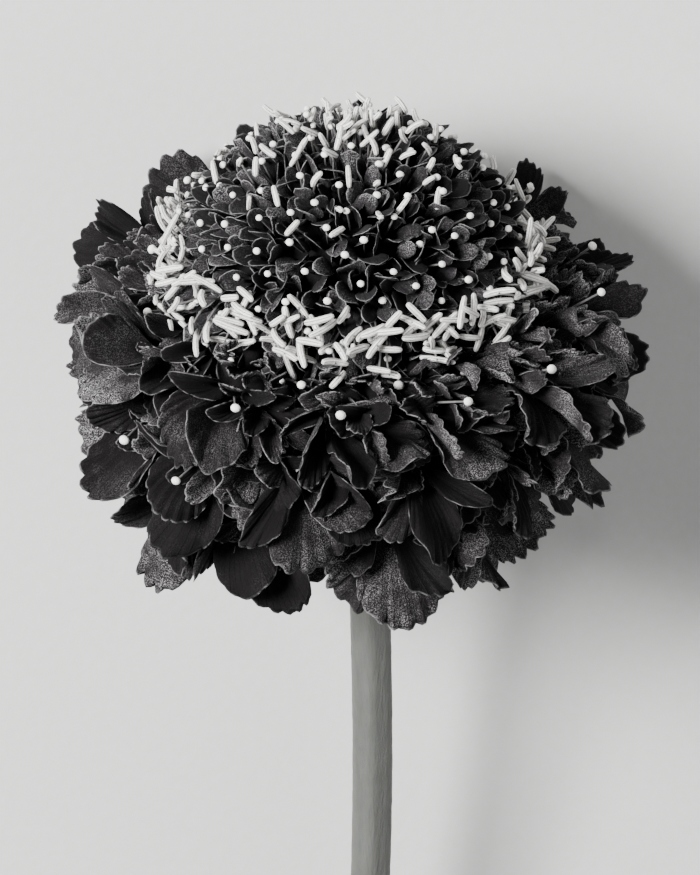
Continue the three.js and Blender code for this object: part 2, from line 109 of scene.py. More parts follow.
def add_piece(name, node, slot, finish, *shapes):
    """Makes one mesh of shapes. A shape is (points, faces) or (points, faces, marks): points are any
    number of copies of one set, and the faces, which are that set's, are repeated for each copy."""
    places, polygons, marks, before = [], [], [], 0
    for points, faces, *rest in shapes:
        points = points.reshape(-1, *points.shape[-2:])
        copies, size = points.shape[:2]
        steps = before + size * np.arange(copies)[:, None, None]
        polygons.append(np.where(faces < 0, -1, faces + steps).reshape(-1, 4))
        places.append(points.reshape(-1, 3))
        marks.append(rest[0].reshape(-1, 4) if rest else np.zeros((copies * size, 4)))
        before += copies * size
    places, polygons, marks = map(np.concatenate, (places, polygons, marks))
    corners = (polygons >= 0).sum(axis=1)
    mesh = bpy.data.meshes.new(name)
    mesh.vertices.add(len(places))
    mesh.vertices.foreach_set("co", laid(places).astype(np.float32).ravel())
    mesh.loops.add(int(corners.sum()))
    mesh.loops.foreach_set("vertex_index", polygons[polygons >= 0].astype(np.int32))
    mesh.polygons.add(len(polygons))
    mesh.polygons.foreach_set("loop_start", (np.cumsum(corners) - corners).astype(np.int32))
    mesh.polygons.foreach_set("use_smooth", np.ones(len(polygons), bool))
    mesh.update(calc_edges=True)
    marks = marks.astype(np.float32)
    mesh.attributes.new("leaf", "FLOAT_VECTOR", "POINT").data.foreach_set("vector", marks[:, :3].ravel())
    mesh.attributes.new("lit_tone", "FLOAT", "POINT").data.foreach_set("value", marks[:, 3].copy())
    mesh.materials.append(finish)
    piece = bpy.data.objects.new(name, mesh)
    bpy.context.scene.collection.objects.link(piece)
    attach(piece, "root")
    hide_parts(node)
    return piece


class Finish:
    """A material with its shader and short ways to add nodes to it."""

    def __init__(self, name, **sockets):
        self.material = bpy.data.materials.new(name)
        self.material.use_nodes = True
        self.tree = self.material.node_tree
        self.shader = self.tree.nodes["Principled BSDF"]
        for socket, value in sockets.items():
            self.shader.inputs[socket.replace("_", " ")].default_value = value

    def node(self, kind, **inputs):
        """Adds a node, and sets or links its inputs by name."""
        node = self.tree.nodes.new("ShaderNode" + kind)
        for name, value in inputs.items():
            self.plug(node.inputs[name.replace("_", " ")], value)
        return node

    def plug(self, socket, value):
        if isinstance(value, bpy.types.NodeSocket):
            self.tree.links.new(value, socket)
        else:
            socket.default_value = value

    def noise(self, scale, detail=2.0, stretch=None):
        """Noise over the object's own coordinates, in grains to the metre."""
        place = self.node("TexCoord").outputs["Object"]
        if stretch:
            along_stem = (HEAD_RISE, 0, 0)
            place = self.node("Mapping", Vector=place, Scale=stretch, Rotation=along_stem).outputs[0]
        return self.node("TexNoise", Vector=place, Scale=scale, Detail=detail).outputs[0]

    def ramp(self, value, low, high, first=0.0, last=1.0):
        """value from low to high becomes first to last, held at both ends."""
        node = self.node("MapRange", Value=value)
        for name, number in zip(("From Min", "From Max", "To Min", "To Max"), (low, high, first, last)):
            node.inputs[name].default_value = number
        return node.outputs[0]

    def math(self, operation, a, b):
        node = self.tree.nodes.new("ShaderNodeMath")
        node.operation = operation
        self.plug(node.inputs[0], a)
        self.plug(node.inputs[1], b)
        return node.outputs[0]

    def mix(self, share, a, b):
        """Colour a turning into colour b."""
        node = self.tree.nodes.new("ShaderNodeMix")
        node.data_type = "RGBA"
        for index, value in ((0, share), (6, a), (7, b)):
            self.plug(node.inputs[index], value)
        return node.outputs[2]

    def bump(self, height, distance, strength=1.0):
        """Stands height, from 0 to 1, up to distance metres proud."""
        before = self.shader.inputs["Normal"].links
        node = self.node("Bump", Height=height, Distance=distance, Strength=strength)
        if before:
            self.plug(node.inputs["Normal"], before[0].from_socket)
        self.plug(self.shader.inputs["Normal"], node.outputs[0])


end_lift = STEM_RADIUS - TABLE_BITE  # of the middle of the cut end above the table
end_back = (HEAD_LIFT + np.sin(HEAD_RISE) * STEM_END - end_lift) / np.cos(HEAD_RISE)
STEM_LINE = np.array(
    [
        [0, 0, STEM_TOP],
        [1.2, 0, -24],
        [2.0, -0.4, -44],
        [1.8, -0.7, -72],
        [0.2, -0.2, -100],
        [-2.4, end_back, STEM_END],
    ]
)


def stem_at(z):
    """The stem's middle line at height z: cubic pieces through the points of STEM_LINE, whose slope at each
    point is that between its two neighbours."""
    heights = STEM_LINE[::-1, 2]
    middles = STEM_LINE[::-1, :2]
    slopes = np.gradient(middles, heights, axis=0)
    piece = np.clip(np.searchsorted(heights, z) - 1, 0, len(heights) - 2)
    step = (heights[piece + 1] - heights[piece])[:, None]
    t = (z - heights[piece])[:, None] / step
    near = (middles[piece] * (1 + 2 * t) + slopes[piece] * step * t) * (1 - t) ** 2
    far = (middles[piece + 1] * (3 - 2 * t) - slopes[piece + 1] * step * (1 - t)) * t**2
    return np.column_stack([near + far, z])


stem_green = Finish(
    "stem_green", Roughness=0.58, Specular_IOR_Level=0.4, Subsurface_Weight=0.1, Subsurface_Scale=0.0006
)
fibre = stem_green.noise(1.0, 3.0, (2600, 90, 2600))
mottle = stem_green.noise(420.0)
green = stem_green.mix(fibre, (0.064, 0.066, 0.06, 1), (0.096, 0.098, 0.091, 1))
stem_green.plug(
    stem_green.shader.inputs["Base Color"],
    stem_green.mix(stem_green.ramp(mottle, 0.4, 0.9, 0.0, 0.5), green, (0.102, 0.104, 0.097, 1)),
)
stem_green.plug(stem_green.shader.inputs["Roughness"], stem_green.ramp(fibre, 0.3, 0.7, 0.48, 0.68))
stem_green.bump(fibre, 0.00009)
stem_green.bump(stem_green.noise(5200.0), 0.00003)

STEM_SIDES = 48
CUT_SLANT, CUT_REACH = 0.55, 1.2  # how steep the cut is, and how far up the stem it is felt
around = 2 * np.pi * np.arange(STEM_SIDES) / STEM_SIDES
stem_heights = np.linspace(STEM_END, STEM_TOP, 150)
swell_heights = np.array([-12.9, -12.3, -11.8, -11.3, -10.9, -10.5, -10.2, -9.9, -9.5, -9.3])
swell_radii = np.array([2.12, 2.3, 2.5, 2.78, 3.15, 3.6, 4.0, 4.3, 4.5, 4.2])
rib = 0.965 - 0.035 * np.cos(6 * around)
stem_radii = STEM_RADIUS * np.vstack([rib * (1 + 0.012 * vary(k, 3)) for k in range(len(stem_heights))])
stem_radii[0] *= 0.96  # the cut's edge is worn round
heights = np.concatenate([stem_heights, swell_heights])
radii = np.vstack([stem_radii, np.tile(swell_radii[:, None], STEM_SIDES)])
middle = np.vstack([stem_at(stem_heights), on_axis(swell_heights)])
stem_points, stem_faces = tube(middle, radii, BACKWARD)
cut = np.exp((STEM_END - stem_points[:, 2]) / CUT_REACH)
stem_points[:, 2] += CUT_SLANT * (stem_points[:, 0] - STEM_LINE[-1, 0]) * cut
add_piece("stem_stalk", "stem", "stem_green", stem_green.material, (stem_points, stem_faces))

# ---------------------------------------------------------------- bracts
# The involucre: twelve narrow green leaves round the top of the stem, longer and shorter by turns, which
# bend down over it. Each is a keeled blade with a downy edge.
BRACTS = 12
BRACT_THICK = 0.42


def even_grid(rows, columns, edge):
    """Shares along and across a blade, evenly spaced, but for a last narrow step to the edge, so that the
    blade keeps its thickness up to its rounded edge."""
    along = np.concatenate([[0], np.linspace(edge, 1 - edge, rows - 2), [1]])
    across = np.concatenate([[-1], np.linspace(edge - 1, 1 - edge, columns - 2), [1]])
    return along[:, None], across[None, :]


def blade_faces(rows, columns):
    """Faces of a closed blade: an upper grid and a lower one turned over, which share their edge points."""
    upper = np.arange(rows * columns).reshape(rows, columns)
    lower = upper.copy()
    inner = (rows - 2, columns - 2)
    lower[1:-1, 1:-1] = rows * columns + np.arange(inner[0] * inner[1]).reshape(inner)
    up, down = (
        np.stack([g[:-1, :-1], g[1:, :-1], g[1:, 1:], g[:-1, 1:]], -1).reshape(-1, 4)
        for g in (upper, lower)
    )
    return np.concatenate([up, down[:, ::-1]])


def blade(middle, thickness, marks):
    """A closed blade about a grid of points (..., rows, columns, 3): half the thickness to either side
    along the grid's normal, and nothing at its edge."""
    along = np.gradient(middle, axis=-3)
    across = np.gradient(middle, axis=-2)
    normal = unit(np.cross(along, across) + 1e-12)
    half = np.zeros(middle.shape[-3:-1])
    half[1:-1, 1:-1] = thickness / 2
    offset = normal * half[..., None]
    # The lower face is marked one higher, so that the petals' backs show more of the painted glints and edge
    # sheen.
    under = marks + np.array([0, 0, 0, 1.0])
    joined = []
    for upper, lower in ((middle + offset, middle - offset), (marks, under)):
        flat = upper.shape[:-3] + (-1, upper.shape[-1])
        inner = lower[..., 1:-1, 1:-1, :]
        joined.append(np.concatenate([upper.reshape(flat), inner.reshape(flat)], axis=-2))
    return joined[0], blade_faces(*middle.shape[-3:-1]), joined[1]


bract_green = Finish("bract_green", Roughness=0.62, Specular_IOR_Level=0.35, Sheen_Weight=0.25)
downy = bract_green.noise(2400.0, 3.0)
patch = bract_green.noise(500.0)
leaf = bract_green.node("SeparateXYZ", Vector=bract_green.node("Attribute").outputs["Vector"])
leaf.inputs[0].links[0].from_node.attribute_name = "leaf"
blade_green = bract_green.mix(patch, (0.05, 0.055, 0.043, 1), (0.11, 0.117, 0.098, 1))
blade_green = bract_green.mix(bract_green.ramp(downy, 0.55, 0.8), blade_green, (0.19, 0.2, 0.175, 1))
keel = bract_green.ramp(bract_green.math("ABSOLUTE", leaf.outputs[0], 0.0), 0.0, 0.22, 1.0, 0.0)
bract_green.plug(
    bract_green.shader.inputs["Base Color"], bract_green.mix(keel, blade_green, (0.16, 0.168, 0.145, 1))
)
bract_green.bump(keel, 0.00012)
bract_green.bump(downy, 0.00005)

along, across = even_grid(22, 9, 0.05)
number = np.arange(BRACTS)[:, None, None]
angle = (number + 0.12 * vary(number, 90)) * 2 * np.pi / BRACTS
length = np.where(number % 2, 8.2, 9.6) * (1 + 0.06 * vary(number, 91))
first = np.radians(np.where(number % 2, 34.0, 18.0))
last = np.radians(86 + 6 * vary(number, 92))
bend = (last - first) / length
lean = first + bend * along * length
width = 1.05 * np.sin(np.pi * (0.26 + 0.74 * along)) ** 0.8 * across
reach = 3.4 + (np.sin(lean) - np.sin(first)) / bend
fall = 10.4 + (np.cos(first) - np.cos(lean)) / bend + 0.28 * across**2 * np.sin(np.pi * along) ** 0.5
fall = fall - 0.12 * np.sin(9 * along + 3 * vary(number, 93)) * along
bracts = np.stack(
    [
        reach * np.cos(angle) - width * np.sin(angle),
        reach * np.sin(angle) + width * np.cos(angle),
        -fall,
    ],
    axis=-1,
)
marks = np.stack(np.broadcast_arrays(across, along, 0.0, 0.0), axis=-1)
marks = np.broadcast_to(marks, bracts.shape[:-1] + (4,))
add_piece("bracts", "stem", "stem_green", bract_green.material, blade(bracts, BRACT_THICK, marks))

# ---------------------------------------------------------------- ray florets
# The florets round the head: each a thin tube that opens into five broad ruffled lobes, dark and velvety,
# pleated towards a scalloped rim. They stand in four rows, the lowest turned down over the stem, with
# smaller ones between them.
CORE_BASE = -1.5
PRESS_FROM, PRESS_SOFT = 4.0, 6.0  # petals nearer the table than the first give way over the second
TUBE_RADIUS = 0.9
YAW = 20
RAY_ROWS = [  # angles in degrees; a limb opens from the first angle of its flare to the second
    dict(
        count=13, root=(9.6, -3.0), rise=-1, tube=5.8, face=38, limb=5.6, flare=(22, 56), scatter=0.05
    ),
    dict(
        count=13, root=(8.8, -4.7), rise=-1, tube=8.8, face=30, limb=9.6, flare=(20, 62), scatter=0.05
    ),
    dict(
        count=14, root=(6.8, -5.4), rise=-20, tube=12.2, face=4, limb=10.2, flare=(18, 62), scatter=0.12
    ),
    dict(
        count=11, root=(4.6, -6.2), rise=-43, tube=14.4, face=-18, limb=10.8, flare=(16, 60), scatter=0.12
    ),
]
# The series of the values that shape the lobes, for each row. These four numbers, and the series in BETWEEN,
# were picked by search programs that scored many sets by outline, holes, contacts and, at the end, spikes.
LOBE_SERIES = (870, 1205, 1935, 2240)
LOBES = np.arange(5)
LOBE_MIDDLES = np.array([-84.0, -43.0, 0.0, 43.0, 84.0])
LOBE_HALVES = np.array([21.0, 29.5, 33.0, 29.5, 21.0])
LOBE_LENGTHS = np.array([0.68, 0.93, 1.03, 0.92, 0.66])
# Of half its width, that a lobe's rim is drawn over, short of where it would end in a cusp.
LOBE_SPAN = 0.985
MARGIN = 0.03  # the painted edge sheen's share of a lobe's length


def press(points, least):
    """Moves points that are near the table up off it, by an exponential that starts level with their own
    height and never falls below least."""
    table_up = np.array([0, -np.cos(HEAD_RISE), np.sin(HEAD_RISE)])
    height = HEAD_LIFT + points @ table_up
    below = np.maximum(PRESS_FROM - height, 0)
    soft = PRESS_FROM - PRESS_SOFT * (1 - np.exp(-below / PRESS_SOFT))
    lifted = np.where(height < PRESS_FROM, np.maximum(soft, least), height)
    return points + (lifted - height)[..., None] * table_up


def lobes(seat, shape, grid):
    """The lobes of many florets, as a grid of points each, laid out as a fan: a share of the way from the
    lobe's foot to its rim, and a place along the rim from one side to the other. The rim's distance from
    the foot is the lobe's length times a power of the cosine of the turn, and swells at each tooth. The
    fan is bent along an arc that leans from open to spread away from the tube's axis, and is then moved
    along its own normal by a cup, a fold at each tooth, two ruffles, a twist and a curl, which all grow
    outwards."""
    share, place = grid
    of = {name: np.asarray(value, float)[..., None, None] for name, value in shape.items()}
    side = LOBE_SPAN * (0.5 * place + 0.5 * np.sin(0.5 * np.pi * place))
    turn = of["half"] * side
    tooth = np.abs(np.sin(0.5 * np.pi * of["teeth"] * place + of["phase"])) ** 0.6
    rim = np.cos(0.5 * np.pi * side) ** of["blunt"] * (1 + of["scallop"] * (tooth - 0.8))
    grown = share * rim
    forward = grown * np.cos(turn)
    lean = of["open"] + (of["spread"] - of["open"]) * forward
    bend = (of["spread"] - of["open"]) / of["length"]
    bend = np.where(np.abs(bend) < 1e-3, 1e-3, bend)
    reach = (np.sin(lean) - np.sin(of["open"])) / bend
    away = of["mouth"] + (np.cos(of["open"]) - np.cos(lean)) / bend
    across = of["length"] * grown * np.sin(turn)
    psi = of["middle"] + of["sway"] * forward**2
    height = of["cup"] * (side**2 - 0.25) * grown
    height = height + of["pleat"] * (tooth - 0.5) * share**2.5 * grown
    wave = np.sin(of["waves"] * place + of["phase"] * 2)
    wave = wave + 0.35 * share**3 * np.sin(2.7 * of["waves"] * place)
    height = height + of["ruffle"] * share**2 * (0.35 + 0.65 * grown) * wave
    height = height + of["twist"] * side * forward**2 + of["curl"] * forward**3
    throat, forth, hang, aside = (v[:, None, None, None, :] for v in seat)
    sine, cosine = np.sin(psi)[..., None], np.cos(psi)[..., None]
    radial = hang * cosine + aside * sine
    facing = forth * np.sin(lean)[..., None] - radial * np.cos(lean)[..., None]
    points = throat + forth * reach[..., None] + radial * away[..., None] + facing * height[..., None]
    points = points + (aside * cosine - hang * sine) * across[..., None]
    margin = np.clip((share - 1) / MARGIN + 1, 0, 1)
    marks = [place * of["teeth"] + 2 * of["phase"] / np.pi, grown, margin, of["lit_tone"]]
    marks = np.stack(np.broadcast_arrays(*marks), axis=-1)
    return points, marks


def directions(angle):
    """The directions out from the flower's axis, level round it and up it, at each angle round it."""
    flat = np.zeros_like(angle)
    out = np.stack([np.cos(angle), np.sin(angle), flat], -1)
    level = np.stack([-np.sin(angle), np.cos(angle), flat], -1)
    return out, level, np.array([0.0, 0.0, 1.0])


def ray_seats(row, shift=0.0, series=0):
    """Where the florets of a row stand: the end of each tube, the axis its limb opens along, and the two
    directions across that axis."""
    settings = RAY_ROWS[row]
    count = settings["count"]
    i = np.arange(count)
    place = i + 0.5 * (row % 2) + shift + settings["scatter"] * vary(i, row + series)
    angle = place * 2 * np.pi / count
    out, level, up = directions(angle)
    rise = np.radians(settings["rise"] + 4 * vary(i, 10 + row + series))[:, None]
    face = np.radians(settings["face"] + 11 * vary(i, 70 + row + series))[:, None]
    yaw = np.radians(YAW + 15 * vary(i, 50 + row + series))[:, None]
    axis = out * np.cos(rise) + up * np.sin(rise)
    ahead = out * np.cos(face) + up * np.sin(face)
    hang = out * np.sin(face) - up * np.cos(face)
    forth = ahead * np.cos(yaw) + level * np.sin(yaw)
    aside = level * np.cos(yaw) - ahead * np.sin(yaw)
    start = out * settings["root"][0] + up * settings["root"][1]
    throat = start + axis * (settings["tube"] * (1 + 0.06 * vary(i, 20 + row + series)))[:, None]
    return i, start, (throat, forth, hang, aside)


def petal_finish(name, base, lit, rim):
    """Velvety petal: dark, with painted glints of its papillae (painted highlights) that crowd in patches
    and grow towards the rim, veins that run out to each tooth of the rim, and a thin painted sheen along the
    edge. Lobes marked higher have their dark lifted and show the glints and the edge sheen more strongly."""
    finish = Finish(
        name, Roughness=0.75, Specular_IOR_Level=0.05, Sheen_Weight=0.012, Sheen_Roughness=0.5
    )
    leaf = finish.node("Attribute")
    leaf.attribute_name = "leaf"
    part = finish.node("SeparateXYZ", Vector=leaf.outputs["Vector"])
    cells = finish.noise(10500.0, 1.0)
    patches = finish.noise(330.0, 3.0)
    vein = finish.math("SINE", finish.math("MULTIPLY", part.outputs[0], np.pi), 0.0)
    vein = finish.math("ABSOLUTE", vein, 0.0)
    vein = finish.math("MULTIPLY", finish.ramp(vein, 0.0, 0.35, 1.0, 0.0), part.outputs[1])
    lit_tone = finish.node("Attribute")
    lit_tone.attribute_name = "lit_tone"
    # Painted light: lobes marked higher have their dark lifted and show more of the painted glints and edge
    # sheen, as lobes that catch the light do.
    pale = finish.ramp(lit_tone.outputs["Fac"], 0.35, 1.4, 0.04, 1.0)
    patchy = finish.ramp(patches, 0.4, 0.62, 0.12, 1.0)
    # Painted highlights: pale glints of the velvet's papillae, in patches, stronger towards the rim and on
    # lobes marked higher.
    glints = finish.math("MULTIPLY", finish.ramp(cells, 0.48, 0.68), patchy)
    glints = finish.math("MULTIPLY", glints, finish.ramp(part.outputs[1], 0.3, 0.95, 0.3, 1.0))
    colour = finish.mix(pale, base, [3.0 * b for b in base[:3]] + [1])
    colour = finish.mix(finish.math("MULTIPLY", glints, pale), colour, lit)
    colour = finish.mix(finish.math("MULTIPLY", vein, 0.35), colour, [0.5 * c for c in base[:3]] + [1])
    # Painted sheen: a thin pale line along each lobe's edge, as the velvet shows in grazing light, broken up
    # by noise and weaker on lobes marked lower.
    sheen_breaks = finish.ramp(finish.noise(1500.0, 1.0), 0.38, 0.62, 0.3, 1.0)
    line = finish.math("MULTIPLY", finish.ramp(part.outputs[2], 0.5, 1.0), sheen_breaks)
    line = finish.math("MULTIPLY", line, finish.ramp(lit_tone.outputs["Fac"], 0.0, 1.0, 0.45, 1.0))
    colour = finish.mix(line, colour, rim)
    finish.plug(finish.shader.inputs["Base Color"], colour)
    finish.plug(finish.shader.inputs["Roughness"], finish.ramp(patches, 0.3, 0.7, 0.62, 0.82))
    finish.bump(vein, 0.00008, 0.6)
    finish.bump(cells, 0.00008)
    return finish


# The dark of the petals, the colour of their painted glints, and that of their painted edge sheen.
ray_petal = petal_finish(
    "ray_petal", (0.0035, 0.003, 0.0033, 1), (0.4, 0.388, 0.394, 1), (0.3, 0.29, 0.295, 1)
)

# The low mound on top of the receptacle that the florets grow from, rough with the stubs of their bases.
mound_radii = np.array([0.3, 4.6, 8.6, 10.4, 11.4, 11.2, 0.3])
mound_heights = np.array([-9.2, -9.199, -7.198, -5.197, -3.396, -1.895, -1.794])
stubs = 1 + 0.03 * vary(np.arange(40), np.arange(len(mound_radii))[:, None])
mound = tube(on_axis(mound_heights), mound_radii[:, None] * stubs, BACKWARD)
add_piece("ray_bed", "ray_florets", "ray_petal", ray_petal.material, mound)

RAY_GRID = (
    np.array([0.08, 0.34, 0.59, 0.81, 0.96, 1.0])[:, None],
    np.linspace(-1, 1, 45)[None, :],
)
TUBE_STATIONS = 7
TUBE_SIDES = 10
RAY_THICK = 0.22
ASKEW = np.array([0.21, 0.33, 0.92])  # a direction that no tube runs along
ROOM_GRID = (np.linspace(0.5, 1, 12)[:, None], np.linspace(-1, 1, 14)[None, :])
FORM_STEP = 19  # between the series of two forms, more than the values that shape a lobe
RAY_FORMS = 20
RAY_CELL = 1.0
ray_room = np.zeros((120, 120, 120), bool)


def ray_shape(row, i, series, size, form):
    """The settings of each lobe of each floret in a row: sizes from the row, and their own cups, ruffles,
    curls and folds, which differ from form to form."""
    settings = RAY_ROWS[row]
    open_, spread = (f + 5 * vary(i, 40 + row + series)[:, None] for f in settings["flare"])
    limb = size * settings["limb"] * (1 + 0.08 * vary(i, 30 + row + series))[:, None]

    def own(k):
        return vary(len(LOBES) * i[:, None] + LOBES, LOBE_SERIES[row] + k + series + FORM_STEP * form)

    folded = (own(1) > (0.0 if row == 0 else 0.3)) * 1.0
    fan = (own(1) < -0.3) * 1.0
    half = LOBE_HALVES * (1 - 0.4 * folded + 0.2 * fan) * (0.75 if row == 0 else 1)
    scale = limb / 9.5
    return {
        "middle": np.radians(LOBE_MIDDLES + 6 * own(2)),
        "half": np.radians(half * (1 + 0.15 * own(3))),
        "length": limb * LOBE_LENGTHS * (0.95 + 0.08 * own(4)),
        "open": np.radians(open_),
        "spread": np.radians(spread + 36 * own(5)),
        "mouth": TUBE_RADIUS,
        "teeth": 11 + 2 * own(6),
        "phase": 3 * own(7),
        "blunt": 0.38 + 0.08 * own(8),
        "scallop": 0.036 + 0.03 * fan + 0.014 * own(9),
        # Painted light: how strongly each lobe shows the painted glints and edge sheen, higher in the lowest
        # row and on fanned lobes, otherwise at random.
        "lit_tone": (0.65 if row == 0 else 0.35) + 0.4 * fan + 0.45 * own(10),
        "sway": np.radians(22 * own(11)),
        "cup": (1.7 - 1.1 * fan + 1.4 * own(12) + 0.6 * folded) * scale,
        "pleat": (0.4 + 0.3 * fan + 0.1 * own(13)) * scale,
        "ruffle": (0.75 + 0.4 * own(14)) * scale,
        "waves": 5.0 + 1.8 * own(15),
        "twist": 2.5 * own(16) * scale,
        "curl": 1.9 * own(17) * scale,
    }


def free_forms(trials, room, cell):
    """The form that each lobe takes, of trials (form, floret, lobe, ...): the one that shares the smallest
    part of its room with the lobes before it. The room is counted in the cells that its points fall in."""
    cells = np.floor(trials / cell).astype(int) + len(room) // 2
    chosen = np.zeros(trials.shape[1:3], int)
    for floret, lobe in np.ndindex(chosen.shape):
        places = cells[:, floret, lobe].reshape(len(trials), -1, 3)
        shared = room[tuple(np.moveaxis(places, -1, 0))].mean(axis=1)
        chosen[floret, lobe] = shared.argmin()
        room[tuple(places[shared.argmin()].T)] = True
    return chosen


def ray_row(row, shift=0.0, series=0, size=1.0):
    """One row of florets: the tubes, each from its root in the mound to its throat, and the lobes."""
    i, start, seat = ray_seats(row, shift, series)
    trials = [lobes(seat, ray_shape(row, i, series, size, form), ROOM_GRID)[0] for form in range(RAY_FORMS)]
    form = free_forms(press(np.array(trials), 0.3), ray_room, RAY_CELL)
    points, marks = lobes(seat, ray_shape(row, i, series, size, form), RAY_GRID)
    least = 0.29 + 0.15 * vary(np.arange(form.size).reshape(form.shape), 200 + row)
    points = press(points, least[..., None, None])
    share = np.linspace(0, 1, TUBE_STATIONS)[None, :, None]
    ease = share * share * (3 - 2 * share)
    throat, forth = seat[0][:, None], seat[1][:, None]
    path = start[:, None] * (1 - share) + throat * share + forth * 0.35 * ease
    path = press(path, TUBE_RADIUS + 0.15)
    radius = np.interp(share[0, :, 0], [0, 0.7, 1], [0.55, 0.72, TUBE_RADIUS + 0.06])
    radius = np.broadcast_to(radius[:, None], (len(i), TUBE_STATIONS, TUBE_SIDES))
    return [blade(points, RAY_THICK, marks), tube(path, radius, ASKEW)]


BETWEEN = (  # row, its series, and the place and size of the smaller florets between its own
    (3, 979, ((0.5, 0.8),)),
    (2, 2440, ((0.5, 0.75), (0.25, 0.62))),
    (1, 1273, ((0.5, 0.7), (0.25, 0.6))),
    (0, 2018, ((0.5, 0.95),)),
)
for row, series, smaller in BETWEEN:
    florets = ray_row(row)
    for shift, size in smaller:
        florets += ray_row(row, shift, series + round(100 * shift), size)
    add_piece(f"ray_row_{row + 1}", "ray_florets", "ray_petal", ray_petal.material, *florets)

# ---------------------------------------------------------------- disc florets
# The florets of the dome: small deep cups, packed side by side in spirals, each of five rounded lobes, of
# which the ones towards the rim of the head are the longest.
DOME_RADIUS, DOME_HEIGHT = 15.0, 12.0
FLORET_DEPTH, COLLAR_DEPTH = 2.6, 2.0
GOLDEN_ANGLE = np.pi * (3 - np.sqrt(5))
DISC_FLORETS = 168
COLLAR_FLORETS = 36  # longer ones, in a collar under the anthers
DISC_LAST = np.radians(94)


def dome_point(polar, angle, sink):
    """A point of the dome at a polar angle from its top, sunk along the outward normal there, with that
    normal, the direction round the dome and the one up it."""
    polar, angle, sink = np.broadcast_arrays(polar, angle, sink)
    out, level, up = directions(angle)
    sine, cosine = np.sin(polar)[..., None], np.cos(polar)[..., None]
    normal = unit(out * sine / DOME_RADIUS + up * cosine / DOME_HEIGHT)
    point = out * sine * DOME_RADIUS + up * cosine * DOME_HEIGHT - normal * sink[..., None]
    return point, normal, level, np.cross(normal, level)


def area_to(c):
    """The dome's area from its waist up to where the cosine of the polar angle is c, but for a factor, as
    for any ellipsoid of revolution."""
    focal = np.sqrt(DOME_RADIUS**2 - DOME_HEIGHT**2)
    bulge = DOME_HEIGHT**2 / focal * np.arcsinh(focal * c / DOME_HEIGHT)
    return c * np.hypot(DOME_HEIGHT, focal * c) + bulge


def spiral(i, count, last):
    """Polar angle and angle round the dome of item i of count: each takes the same area, from the top down
    to last, and stands a golden angle on from the one before."""
    fine = np.linspace(np.cos(last), 1, 4001)
    share = (i + 0.5) / count
    area = area_to(1.0) + (area_to(np.cos(last)) - area_to(1.0)) * share
    return np.arccos(np.interp(area, area_to(fine), fine)), i * GOLDEN_ANGLE


# The dark of the petals, the colour of their painted glints, and that of their painted edge sheen.
disc_petal = petal_finish(
    "disc_petal", (0.004, 0.0036, 0.004, 1), (0.27, 0.262, 0.265, 1), (0.35, 0.342, 0.346, 1)
)

bed_radius, bed_height = DOME_RADIUS - FLORET_DEPTH, DOME_HEIGHT - FLORET_DEPTH
slope = np.linspace(0, np.pi / 2 - 0.02, 14)
bed_heights = np.concatenate([[CORE_BASE, CORE_BASE + 0.01], bed_height * np.sin(slope)])
bed_radii = np.concatenate([[0.3, bed_radius], bed_radius * np.cos(slope)])
stubs = 1 + 0.015 * vary(np.arange(48), np.arange(len(bed_radii))[:, None])
bed = tube(on_axis(bed_heights), bed_radii[:, None] * stubs, BACKWARD)
add_piece("disc_bed", "disc_florets", "disc_petal", disc_petal.material, bed)

florets = np.arange(DISC_FLORETS + COLLAR_FLORETS)
disc_polar, disc_angle = spiral(florets, DISC_FLORETS, DISC_LAST)
collar = florets >= DISC_FLORETS
turned = (florets + 0.4 * vary(florets, 405)) * 2 * np.pi / COLLAR_FLORETS
disc_polar = np.where(collar, np.radians(104 + 5 * vary(florets, 406)), disc_polar)
disc_angle = np.where(collar, turned, disc_angle)
disc_depth = np.where(collar, COLLAR_DEPTH, FLORET_DEPTH)
point, normal, level, up_dome = dome_point(disc_polar, disc_angle, disc_depth)
lean_aside, lean_up = 0.14 * vary(florets, 401)[:, None], 0.14 * vary(florets, 402)[:, None]
forth = unit(normal + level * lean_aside + up_dome * (lean_up - 0.05))
hang = unit(np.cross(up_dome, forth))
aside = np.cross(forth, hang)
throat = point - forth * 0.35
turn = 3 * vary(florets, 403)[:, None]
DISC_GRID = (
    np.array([0.1, 0.38, 0.66, 0.93, 1.0])[:, None],
    np.linspace(-1, 1, 11)[None, :],
)
DISC_FORMS = 10
DISC_CELL = 0.6
DISC_THICK = 0.12
DISC_MOUTH = 0.75
DISC_SERIES = 420  # of the values that shape the lobes


def disc_shape(form):
    """The settings of each lobe of each floret of the dome, which differ from form to form."""

    def own(k):
        return vary(len(LOBES) * florets[:, None] + LOBES, DISC_SERIES + k + FORM_STEP * form)

    middle = turn + 2 * np.pi * LOBES / len(LOBES) + 0.1 * own(1)
    length = (3.65 + 1.3 * collar + 0.35 * vary(florets, 404))[:, None] * (1 - 0.16 * np.sin(middle))
    return {
        "middle": middle,
        "half": np.radians(29 * (1 + 0.2 * own(2)) * (1 - 0.25 * collar[:, None])),
        "length": length * (1 + 0.09 * own(3)),
        "open": np.radians(4 + 3 * own(4)),
        "spread": np.radians(24 + 32 * own(5)),
        "mouth": DISC_MOUTH,
        "teeth": 3.5 + 1.0 * own(6),
        "phase": 3 * own(7),
        "blunt": 0.5 + 0.12 * own(8),
        "scallop": 0.05 + 0.03 * own(9),
        # Painted light: how strongly each lobe shows the painted glints and edge sheen, at random.
        "lit_tone": 0.7 + 0.5 * own(10),
        "sway": np.radians(9 * own(11)),
        "cup": 0.6 + 0.45 * own(12),
        "pleat": 0.03,
        "ruffle": 0.17 + 0.1 * own(14),
        "waves": 3.2 + own(15),
        "twist": 0.4 * own(16),
        "curl": 0.7 * own(17),
    }


